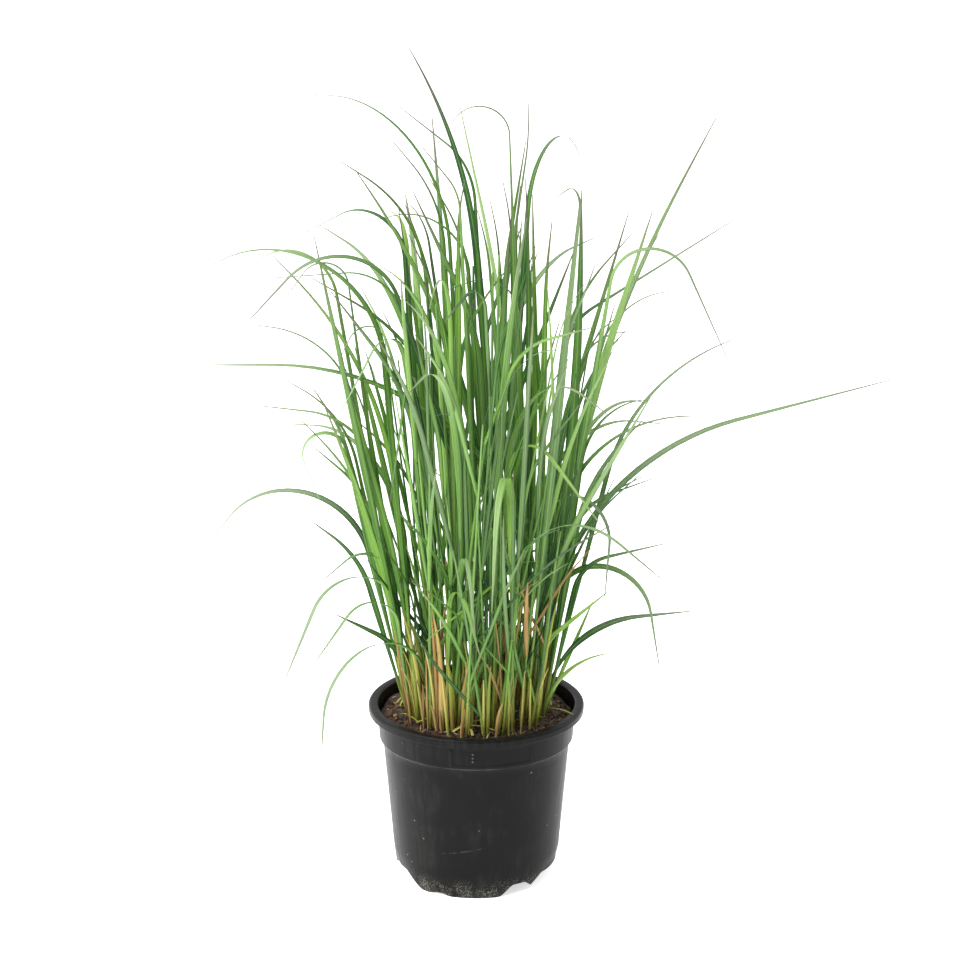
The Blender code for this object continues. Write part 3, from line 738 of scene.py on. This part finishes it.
def clump_foot(draw, inner=0.0, outer=CLUMP_RADIUS, turns=(0.0, 360.0)):
    """Random place on the mix, evenly spread between two radii and two turns."""
    radius = math.sqrt(draw.uniform(inner ** 2, outer ** 2))
    angle = draw.uniform(*turns)
    x = radius * math.cos(math.radians(angle))
    y = radius * math.sin(math.radians(angle)) - FRONT_SHIFT
    return x, y, radius, angle


def random_twists(draw, heading, lean_tip):
    """Twist at the sheath and at the tip: mostly face on, some edge on."""
    upright, arch = facing_twists(heading, lean_tip)
    return upright * draw.uniform(0.1, 1.0), arch * draw.uniform(0.2, 1.3) + draw.gauss(0.0, 14.0)


def culm_path(row, shares):
    x, y, heading, length, lean_foot, lean_tip = row
    foot = (x * MM, y * MM, BASE_HEIGHT)
    return bent_path(foot, heading, length * MM, (lean_foot, lean_tip), (0.0, 1.0), shares, CULM_SWAY)


def scattered_culms(draw, count):
    """Rows of culms that fan out a little from the middle of the clump."""
    rows = []
    for index in range(count):
        if index % 5 == 0:
            x, y, radius, angle = clump_foot(draw, 50.0, 64.0, FRONT_TURNS)
        else:
            x, y, radius, angle = clump_foot(draw)
        lean = draw.uniform(0.0, 2.0) + 7.5 * (radius / CLUMP_RADIUS) ** 1.5
        heading = angle + draw.gauss(0.0, 30.0)
        rows.append((x, y, heading, draw.uniform(150, 330), lean, lean + draw.uniform(0, 8)))
    return rows


def blades_on_culm(draw, culm, count):
    """Leaves that leave a culm on alternate sides, the last one at its tip."""
    shares = np.linspace(0.0, 1.0, CULM_STEPS + 1)
    points, tangents, _ = culm_path(culm, shares)
    side = draw.uniform(0.0, 360.0)
    rows = []
    for index in range(count):
        for _ in range(TRIES):
            place = 1.0 - 0.62 * (index / count) ** 0.8 - draw.uniform(0.0, 0.05)
            spot = int(round(CULM_STEPS * place))
            turn = math.radians(side + 180.0 * index + draw.gauss(0.0, 25.0))
            away = math.tan(math.radians(draw.uniform(2.0, 11.0)))
            start = tangents[spot] + away * np.array((math.cos(turn), math.sin(turn), 0.0))
            lean_foot = math.degrees(math.atan2(math.hypot(start[0], start[1]), start[2]))
            heading = math.degrees(math.atan2(start[1], start[0]))
            arching = draw.random()
            if arching < 0.70:
                turned = draw.uniform(2.0, 30.0)
            elif arching < 0.93:
                turned = draw.uniform(30.0, 85.0)
            else:
                turned = draw.uniform(85.0, 140.0)
            bend_from = draw.uniform(0.25, 0.70)
            bend_to = min(0.98, bend_from + draw.uniform(0.2, 0.5))
            length = draw.uniform(150.0, 370.0)
            width = draw.uniform(2.2, 6.0) * (0.6 + 0.4 * length / 370.0)
            tone = min(0.95, max(0.02, draw.gauss(0.34, 0.21)))
            x, y, z = points[spot] / MM
            row = (x, y, heading, length, lean_foot, lean_foot + turned, bend_from, bend_to,
                   width, tone, draw.uniform(0.2, 0.9))
            if inside_box(row, points[spot][2]):
                rows.append((row, points[spot][2]))
                break
    return rows


# ---------------------------------------------------------------- pot and mix

POT_TURNS = 600
WALL = 0.0014
COLLAR_FOOT = 0.127
COLLAR_TOP = 0.146
COLLAR_STEP = 0.0032
COLLAR_FOOT_RADIUS = 0.0855
COLLAR_TOP_RADIUS = 0.0868
NECK_RADIUS = 0.0872
LIP_WIDTH = 0.0085
LIP_ROUNDING = 0.0026
MOUTH_ROUNDING = 0.0022
FOOT_RADIUS = 0.0712
FOOT_RING = 0.0026
CHANNEL = 0.0105
PAD_RADIUS = 0.038
PANEL_LOW, PANEL_HIGH = 0.1310, 0.1455
PANEL_FROM, PANEL_TO = -104.5, -57.0
PANEL_DEPTH = 0.0004
RIDGE_HEIGHT = 0.0009
RIDGE_WIDTH = 0.9
RIDGE_TOP = (0.1445, 0.1460)
DOT_TURN = -91.8
DOT_X = -0.0030
DOT_HEIGHTS = (0.1350, 0.1385, 0.1420)
SPECK = (0.0478, 0.1170)
DOT_SIZE = 0.0009
DOT_WIDTH = 0.0008
DOT_RADIUS = 0.086
SCRATCH_HEIGHT = 0.0480
SCRATCH_SLOPE = 0.20

# Scallops of the foot: turn and half width in degrees, height in metres.
SCALLOPS = (
    (-58.0, 17.0, 0.0095),
    (-17.0, 44.0, 0.0150),
    (24.0, 20.0, 0.0100),
    (58.0, 18.0, 0.0095),
    (94.0, 18.0, 0.0100),
    (130.0, 18.0, 0.0095),
    (162.0, 20.0, 0.0100),
    (200.0, 31.0, 0.0125),
    (243.0, 9.0, 0.0020),
)
SCALLOP_REACH = 0.024


def arc(centre, radius, start, end, count):
    angles = np.radians(np.linspace(start, end, count))
    return [(centre[0] + radius * math.cos(a), centre[1] + radius * math.sin(a)) for a in angles]


def run(start, end, count):
    """Points from one r, z place to another, without the last one."""
    return [
        (start[0] + (end[0] - start[0]) * k / count, start[1] + (end[1] - start[1]) * k / count)
        for k in range(count)
    ]


def body_radius(z):
    share = z / (COLLAR_FOOT - COLLAR_STEP)
    return FOOT_RADIUS + (COLLAR_FOOT_RADIUS - COLLAR_STEP - FOOT_RADIUS) * share


def inner_section():
    """Section of the pot's inside, from its floor to the mouth."""
    mouth = (LIP_RADIUS - LIP_WIDTH, POT_HEIGHT - MOUTH_ROUNDING)
    floor = CHANNEL + WALL
    step = COLLAR_FOOT - COLLAR_STEP
    under = (body_radius(step) - WALL, step + WALL)
    collar = (COLLAR_FOOT_RADIUS - WALL, COLLAR_FOOT + WALL)
    inner = [(PAD_RADIUS - WALL, WALL), (PAD_RADIUS + CHANNEL / 2 - WALL, floor)]
    inner += run((body_radius(floor) - WALL, floor), under, 10)
    return inner + run(under, collar, 2) + run(collar, mouth, 10)


def outer_section():
    """Section of the pot's outside, from the mouth over the lip and down to the pad."""
    top = POT_HEIGHT
    lip = LIP_RADIUS
    mouth = lip - LIP_WIDTH
    step = COLLAR_FOOT - COLLAR_STEP
    lip_part = arc((mouth + MOUTH_ROUNDING, top - MOUTH_ROUNDING), MOUTH_ROUNDING, 180, 90, 6)
    lip_part += arc((lip - LIP_ROUNDING, top - LIP_ROUNDING), LIP_ROUNDING, 90, 0, 8)
    lip_part += [(lip - 0.0002, top - 0.0055)] + arc((lip - 0.0009, top - 0.0068), 0.0007, 0, -90, 4)
    lip_part += [(lip - 0.0022, top - 0.0070), (lip - 0.0028, top - 0.0040), (0.0893, top - 0.0032)]
    outer = [(0.0884, top - 0.0040), (0.0876, top - 0.0056)]
    outer += run((NECK_RADIUS, top - 0.0076), (COLLAR_TOP_RADIUS, COLLAR_TOP), 4)
    outer += run((COLLAR_TOP_RADIUS, COLLAR_TOP), (COLLAR_FOOT_RADIUS, COLLAR_FOOT + 0.0006), 20)
    outer += arc((0.0849, COLLAR_FOOT + 0.0006), 0.0006, 0, -70, 4)
    outer += run((body_radius(step) + 0.0006, step + 0.0012), (body_radius(step), step), 3)
    outer += run((body_radius(step), step), (body_radius(SCALLOP_REACH), SCALLOP_REACH), 18)
    outer += run((body_radius(SCALLOP_REACH), SCALLOP_REACH), (FOOT_RADIUS, 0.0004), 16)
    outer += [(FOOT_RADIUS - 0.0003, 0.0), (FOOT_RADIUS - FOOT_RING + 0.0003, 0.0)]
    ring = FOOT_RADIUS - FOOT_RING
    outer += run((ring, 0.0004), (ring - 0.0006, CHANNEL), 8)
    outer += [(ring - 0.0006, CHANNEL), (PAD_RADIUS + CHANNEL / 2, CHANNEL), (PAD_RADIUS, 0.0)]
    return lip_part + outer


def scallop_height(turns):
    """Height of the foot's open edge at each turn, in degrees."""
    height = np.zeros_like(turns)
    for turn, half_width, rise in SCALLOPS:
        away = np.abs((turns - turn + 180.0) % 360.0 - 180.0) / half_width
        height = np.maximum(height, rise * smooth(1.0 - away, 0.0, 0.8))
    return height


def turned(turns, section):
    """Points of a section turned about the axis, as turn by section by xyz."""
    angle = np.radians(turns)[:, None]
    r = section[None, :, 0]
    z = np.repeat(section[None, :, 1], len(turns), axis=0)
    return np.stack((r * np.cos(angle), r * np.sin(angle), z), axis=2)


def lathe_faces(turns, rows):
    """Quads between the rows of every turn, and the two end polygons."""
    t = np.arange(turns)[:, None]
    k = np.arange(rows - 1)[None, :]
    n = (t + 1) % turns
    quads = np.stack((t * rows + k, n * rows + k, n * rows + k + 1, t * rows + k + 1), axis=2)
    first = [int(i) * rows for i in range(turns)]
    last = [int(i) * rows + rows - 1 for i in reversed(range(turns))]
    return quads.reshape(-1, 4).tolist() + [first[::-1], last[::-1]]


def opened_foot(z, section, outside, turns):
    """Heights of the points, with the foot's edge raised over the scallops."""
    low = scallop_height(turns)[:, None]
    wall = section[:, 0] > FOOT_RADIUS - FOOT_RING - 0.0008
    moved = wall & outside & (section[:, 1] < SCALLOP_REACH)
    ring_side = section[:, 0] < FOOT_RADIUS - FOOT_RING + 0.0001
    lifted = low + z * (1 - low / SCALLOP_REACH)
    capped = low + z * (1 - low / CHANNEL)
    lifted = np.where(ring_side[None, :], capped, lifted)
    return np.where(moved[None, :], lifted, z)


def collar_push(turn, height):
    """How far the collar's face is pushed out: the sunk panel, the ridge at its left, the dots."""
    inside = smooth(turn, PANEL_FROM, PANEL_FROM + 0.6) * (1 - smooth(turn, PANEL_TO - 0.6, PANEL_TO))
    inside = inside * smooth(height, PANEL_LOW - 0.0008, PANEL_LOW)
    inside = inside * (1 - smooth(height, PANEL_HIGH, PANEL_HIGH + 0.0008))
    push = -PANEL_DEPTH * inside
    ridge = np.exp(-((turn - PANEL_FROM) / RIDGE_WIDTH) ** 2)
    ridge = RIDGE_HEIGHT * ridge * smooth(height, PANEL_LOW - 0.002, PANEL_LOW)
    push += ridge * (1 - smooth(height, *RIDGE_TOP))
    for dot in DOT_HEIGHTS:
        away = ((turn - DOT_TURN) * math.radians(1.0) * DOT_RADIUS) ** 2 + (height - dot) ** 2
        push += DOT_SIZE * np.exp(-away / (DOT_WIDTH ** 2))
    return push


def build_pot():
    inner = inner_section()
    section = np.array(inner + outer_section())
    turns = np.linspace(-180.0, 180.0, POT_TURNS, endpoint=False)
    points = turned(turns, section)
    outside = np.arange(len(section)) >= len(inner)
    points[:, :, 2] = opened_foot(points[:, :, 2], section, outside, turns)
    height = section[:, 1]
    face = (section[:, 0] > COLLAR_FOOT_RADIUS - 0.0001) & (height > COLLAR_FOOT)
    face = face & (height < COLLAR_TOP + 0.0001)
    push = np.where(face[None, :], collar_push(turns[:, None], height[None, :]), 0.0)
    radius = np.hypot(points[:, :, 0], points[:, :, 1])
    points[:, :, :2] *= (1 + push / radius)[:, :, None]
    mesh = bpy.data.meshes.new("pot_shell")
    faces = lathe_faces(POT_TURNS, len(section))
    mesh.from_pydata(points.reshape(-1, 3).tolist(), [], faces)
    return finish_object("pot_shell", mesh, pot_material(), smooth_angle=38)


MIX_TURNS = 160
MIX_RINGS = 46
CHIP_COUNT = 1100
CHIP_REACH = 0.0795


def mix_height(x, y):
    """Height of the lumpy top of the mix."""
    radius = math.hypot(x, y)
    lump = noise.noise(Vector((x * 70, y * 70, 1.7))) * 2.6
    lump += noise.noise(Vector((x * 260, y * 260, 4.1))) * 1.3
    edge = 2.5 * smooth(np.array(radius), 0.070, 0.084)
    return MIX_TOP + (lump - 1.0 - float(edge)) * MM


def build_mix():
    """Closed body with a lumpy top, which ends inside the collar."""
    reach = MIX_RADIUS - 0.0006
    radii = reach * (np.arange(1, MIX_RINGS + 1) / MIX_RINGS)
    angle = np.radians(np.linspace(0.0, 360.0, MIX_TURNS, endpoint=False))
    verts = [(0.0, 0.0, mix_height(0.0, 0.0))]
    for r in radii:
        for a in angle:
            x, y = r * math.cos(a), r * math.sin(a)
            verts.append((x, y, mix_height(x, y)))
    base = len(verts)
    for a in angle:
        verts.append((reach * 0.99 * math.cos(a), reach * 0.99 * math.sin(a), MIX_TOP - 0.020))
    faces = [(0, 1 + k, 1 + (k + 1) % MIX_TURNS) for k in range(MIX_TURNS)]
    for ring in range(MIX_RINGS):
        here = 1 + ring * MIX_TURNS
        there = here + MIX_TURNS if ring < MIX_RINGS - 1 else base
        for k in range(MIX_TURNS):
            n = (k + 1) % MIX_TURNS
            faces.append((here + k, there + k, there + n, here + n))
    faces.append([base + k for k in reversed(range(MIX_TURNS))])
    mesh = bpy.data.meshes.new("mix_surface")
    mesh.from_pydata(verts, [], faces)
    return finish_object("mix_surface", mesh, mix_material())


def build_chips(draw):
    """Bark chips, splinters and crumbs that lie on the mix, in one mesh."""
    sides = 7
    verts, faces, tones = [], [], []
    for _ in range(CHIP_COUNT):
        radius = math.sqrt(draw.uniform(0.0, 1.0)) * CHIP_REACH
        place = draw.uniform(0.0, 2 * math.pi)
        x, y = radius * math.cos(place), radius * math.sin(place)
        kind = draw.random()
        length = draw.uniform(2.0, 5.5) if kind < 0.65 else draw.uniform(5.0, 12.0)
        width = length * draw.uniform(0.25, 0.7) if kind < 0.70 else draw.uniform(0.6, 1.3)
        thick = min(width * 0.6, draw.uniform(0.7, 2.2))
        tone = draw.uniform(0.0, 0.74) if kind < 0.80 else draw.uniform(0.55, 1.0)
        turn = draw.uniform(0.0, 2 * math.pi)
        pitch = draw.gauss(0.0, 0.42)
        roll = draw.gauss(0.0, 0.40)
        centre = np.array((x, y, mix_height(x, y) + (0.35 * thick + abs(pitch) * length * 0.2) * MM))
        level = math.cos(pitch)
        along = np.array((math.cos(turn) * level, math.sin(turn) * level, math.sin(pitch)))
        side = np.array((-math.sin(turn), math.cos(turn), math.tan(roll)))
        side /= np.linalg.norm(side)
        up = np.cross(along, side)
        base = len(verts)
        jitter = [draw.uniform(0.72, 1.12) for _ in range(sides)]
        for layer, scale in ((-1.0, 0.86), (-0.2, 1.0), (1.0, 0.80)):
            for k in range(sides):
                a = 2 * math.pi * k / sides
                reach = jitter[k] * scale
                offset = along * math.cos(a) * reach * length / 2 + side * math.sin(a) * reach * width / 2
                verts.append(centre + (offset + up * layer * thick / 2 * draw.uniform(0.8, 1.1)) * MM)
        for layer in range(2):
            for k in range(sides):
                n = (k + 1) % sides
                a, b = base + layer * sides + k, base + layer * sides + n
                faces.append((a, b, b + sides, a + sides))
        faces.append([base + k for k in reversed(range(sides))])
        faces.append([base + 2 * sides + k for k in range(sides)])
        tones += [tone] * (3 * sides)
    mesh = bpy.data.meshes.new("bark_chips")
    mesh.from_pydata([tuple(v) for v in verts], [], faces)
    mesh.attributes.new("tone", "FLOAT", "POINT").data.foreach_set("value", tones)
    return finish_object("bark_chips", mesh, bark_material(), smooth_angle=40)


# ---------------------------------------------------------------- putting it together

LEAVES_IN_A_PIECE = 26
CULM_COUNT = 52
CROSSING_COUNT = 90
SHEATH_COUNT = 130

# Straw strands that lie over the front and the rim: foot x, y and z over the mix in mm, heading,
# length and width in mm, tone.
STRANDS = (
    (-20, -66, 4, 38, 38, 2.2, 0.95),
    (-3, -72, 3, 100, 26, 1.8, 1.00),
    (16, -68, 6, 165, 30, 1.4, 0.90),
    (-52, -42, 3, 15, 34, 1.6, 0.80),
    (-66, -20, 3, 300, 30, 1.4, 0.60),
    (-60, 18, 3, 250, 26, 1.2, 0.90),
    (58, -30, 3, 200, 28, 1.3, 0.85),
    (66, -4, 4, 95, 26, 1.2, 0.95),
    (-70, 6, 3, 60, 24, 1.0, 0.75),
    (60, -14, 5, 320, 34, 1.2, 0.95),
)


def keep(piece, slot, *nodes):
    if nodes:
        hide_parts(*nodes)
    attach(piece, "root")


def build_foliage(draw, material, culms):
    """Every blade, sorted by heading, so that each joined piece is one side of the clump."""
    blades = []
    for name, *row in FRAME_LEAVES:
        blades.append((row, None, facing_twists(row[2], row[5]), 0.0, name, 0.0))
    for row in MORE_LEAVES:
        blades.append((row, None, facing_twists(row[2], row[5]), 0.0, None, 0.0))
    for culm in culms:
        for row, height in blades_on_culm(draw, culm, draw.choice((1, 1, 2))):
            low = height < DRY_BELOW and row[3] < 210.0
            dry = 1.0 if low and draw.random() < 0.25 else 0.0
            twists = random_twists(draw, row[2], row[5])
            blades.append((row, height, twists, draw.gauss(0.0, 10.0), None, dry))
    blades += crossing_blades(draw, culms, CROSSING_COUNT)
    blades.sort(key=lambda blade: blade[0][2] % 360.0)
    for start in range(0, len(blades), LEAVES_IN_A_PIECE):
        strips = StripSet()
        nodes = []
        for row, height, twists, sway, name, dry in blades[start:start + LEAVES_IN_A_PIECE]:
            add_leaf(strips, row, twists, sway, height, dry)
            if name:
                nodes.append(name)
        number = start // LEAVES_IN_A_PIECE + 1
        keep(strips.build(f"leaves_{number:02d}", material), "leaf_green", *nodes)


def crossing_blades(draw, culms, count):
    """Short thin blades in the lower half of the clump, some of them dry."""
    blades = []
    shares = np.linspace(0.0, 1.0, CULM_STEPS + 1)
    front = [culm for culm in culms if culm[1] < 0.0]
    while len(blades) < count:
        points, _, _ = culm_path(draw.choice(front if len(blades) % 2 else culms), shares)
        spot = draw.randrange(3, 24)
        x, y, z = points[spot] / MM
        heading = draw.uniform(0.0, 360.0)
        lean_foot = draw.uniform(8.0, 44.0)
        row = (x, y, heading, draw.uniform(60.0, 200.0), lean_foot, lean_foot + draw.uniform(-18.0, 45.0),
               draw.uniform(0.2, 0.6), draw.uniform(0.7, 1.0), draw.uniform(1.8, 4.2),
               min(0.9, max(0.03, draw.gauss(0.24, 0.17))), draw.uniform(0.0, 0.8))
        if inside_box(row, points[spot][2]):
            low = row[3] < 110.0 and z * MM < DRY_BELOW
            dry = 1.0 if low and draw.random() < 0.4 else 0.0
            twists = random_twists(draw, heading, row[5])
            blades.append((row, points[spot][2], twists, draw.gauss(0.0, 12.0), None, dry))
    return blades


def build_culms(draw, material, culms):
    strips = StripSet()
    for name, *row in FRAME_CULMS:
        add_culm(strips, row, draw.uniform(0.2, 0.5), 1.5)
    for row in culms:
        add_culm(strips, row, draw.uniform(0.10, 0.60), draw.uniform(0.95, 1.6))
    nodes = [name for name, *_ in FRAME_CULMS]
    keep(strips.build("culms", material), "culm_green", *nodes)


def build_sheaths(draw, material):
    strips = StripSet()
    for name, *row in FRAME_SHEATHS:
        add_sheath(strips, row, 5.0, draw.gauss(0.0, 25.0))
    for index in range(SHEATH_COUNT):
        if index % 6 == 0:
            x, y, radius, angle = clump_foot(draw, 48.0, 66.0, LEFT_FRONT_TURNS)
        elif index % 3 == 0:
            x, y, radius, angle = clump_foot(draw, 50.0, 66.0, FRONT_TURNS)
        else:
            x, y, radius, angle = clump_foot(draw, 25.0)
        height = draw.uniform(25, 80) if draw.random() < 0.8 else draw.uniform(80, 150)
        lean = 7.5 * (radius / CLUMP_RADIUS) ** 1.5 + draw.uniform(-3.0, 4.0)
        tip = lean + draw.uniform(-4.0, 24.0)
        width = draw.uniform(1.0, 2.6) if draw.random() < 0.85 else draw.uniform(2.6, 4.0)
        row = (x, y, angle + draw.gauss(0.0, 25.0), height, lean, tip, 0.4, 0.95,
               width, draw.uniform(0.0, 1.0), 0.0)
        add_sheath(strips, row, draw.gauss(0.0, 8.0), draw.gauss(0.0, 30.0))
    for x, y, z, heading, length, width, tone in STRANDS:
        row = (x, y, heading, length, 72.0, 104.0, 0.1, 0.9, width, tone, 0.0)
        add_strand(strips, row, z * MM)
    nodes = [name for name, *_ in FRAME_SHEATHS]
    keep(strips.build("dry_sheaths", material), "dry_straw", *nodes)


def build_floor():
    half = 30.0
    verts = [(-half, -half, 0.0), (half, -half, 0.0), (half, half, 0.0), (-half, half, 0.0)]
    mesh = bpy.data.meshes.new("studio_floor")
    mesh.from_pydata(verts, [], [(0, 1, 2, 3)])
    floor = finish_object("studio_floor", mesh, floor_material())


def add_light(name, place, aim, size, power):
    data = bpy.data.lights.new(name, "AREA")
    data.shape = "RECTANGLE"
    data.size, data.size_y = size
    data.energy = power
    light = bpy.data.objects.new(name, data)
    light.location = place
    light.rotation_euler = (Vector(aim) - Vector(place)).to_track_quat("-Z", "Y").to_euler()
    bpy.context.scene.collection.objects.link(light)


# Light of the world by direction: axis, where it starts and ends to grow, dim and bright strength.
WORLD_SHADES = (("Y", -0.95, 0.10, 0.15, 0.95), ("X", 0.1, -0.8, 0.0, 1.1))


def build_studio():
    build_floor()
    world = bpy.data.worlds.new("studio")
    world.use_nodes = True
    nodes, links = world.node_tree.nodes, world.node_tree.links
    place = nodes.new("ShaderNodeTexCoord")
    split = nodes.new("ShaderNodeSeparateXYZ")
    links.new(place.outputs["Generated"], split.inputs[0])
    total = nodes.new("ShaderNodeMath")
    for index, (axis, low, high, dim, bright) in enumerate(WORLD_SHADES):
        ease = nodes.new("ShaderNodeMapRange")
        ease.interpolation_type = "SMOOTHSTEP"
        for socket, value in enumerate((low, high, dim, bright), start=1):
            ease.inputs[socket].default_value = value
        links.new(split.outputs[axis], ease.inputs[0])
        links.new(ease.outputs[0], total.inputs[index])
    links.new(total.outputs[0], nodes["Background"].inputs["Strength"])
    nodes["Background"].inputs["Color"].default_value = (1.0, 1.0, 1.0, 1.0)
    bpy.context.scene.world = world
    add_light("key", (-1.6, -1.2, 2.6), (0.0, 0.0, 0.35), (2.4, 2.4), 90)
    add_light("side", (-2.2, 0.2, 0.9), (0.0, 0.0, 0.1), (0.9, 1.6), 22)
    add_light("rim", (2.0, 1.2, 1.6), (0.0, 0.0, 0.3), (1.2, 1.2), 20)


CAMERA_PLACE = (0.0033, -3.0, 1.339)
CAMERA_DOWN = 18.03
CAMERA_LENS = 136.95


def build_camera():
    data = bpy.data.cameras.new("camera")
    data.lens = CAMERA_LENS
    data.sensor_width = 36.0
    camera = bpy.data.objects.new("camera", data)
    camera.location = CAMERA_PLACE
    camera.rotation_euler = (math.radians(90.0 - CAMERA_DOWN), 0.0, 0.0)
    bpy.context.scene.collection.objects.link(camera)
    bpy.context.scene.camera = camera
    bpy.context.scene.view_settings.view_transform = "Standard"


def main():
    draw = random.Random(SEED)
    build_studio()
    build_camera()
    grass = leaf_material()
    keep(build_pot(), "pot_plastic", "pot")
    keep(build_mix(), "bark_mix", "potting_mix")
    keep(build_chips(draw), "bark_mix")
    culms = scattered_culms(draw, CULM_COUNT)
    build_foliage(draw, grass, culms)
    build_culms(draw, grass, culms)
    build_sheaths(draw, grass)


main()
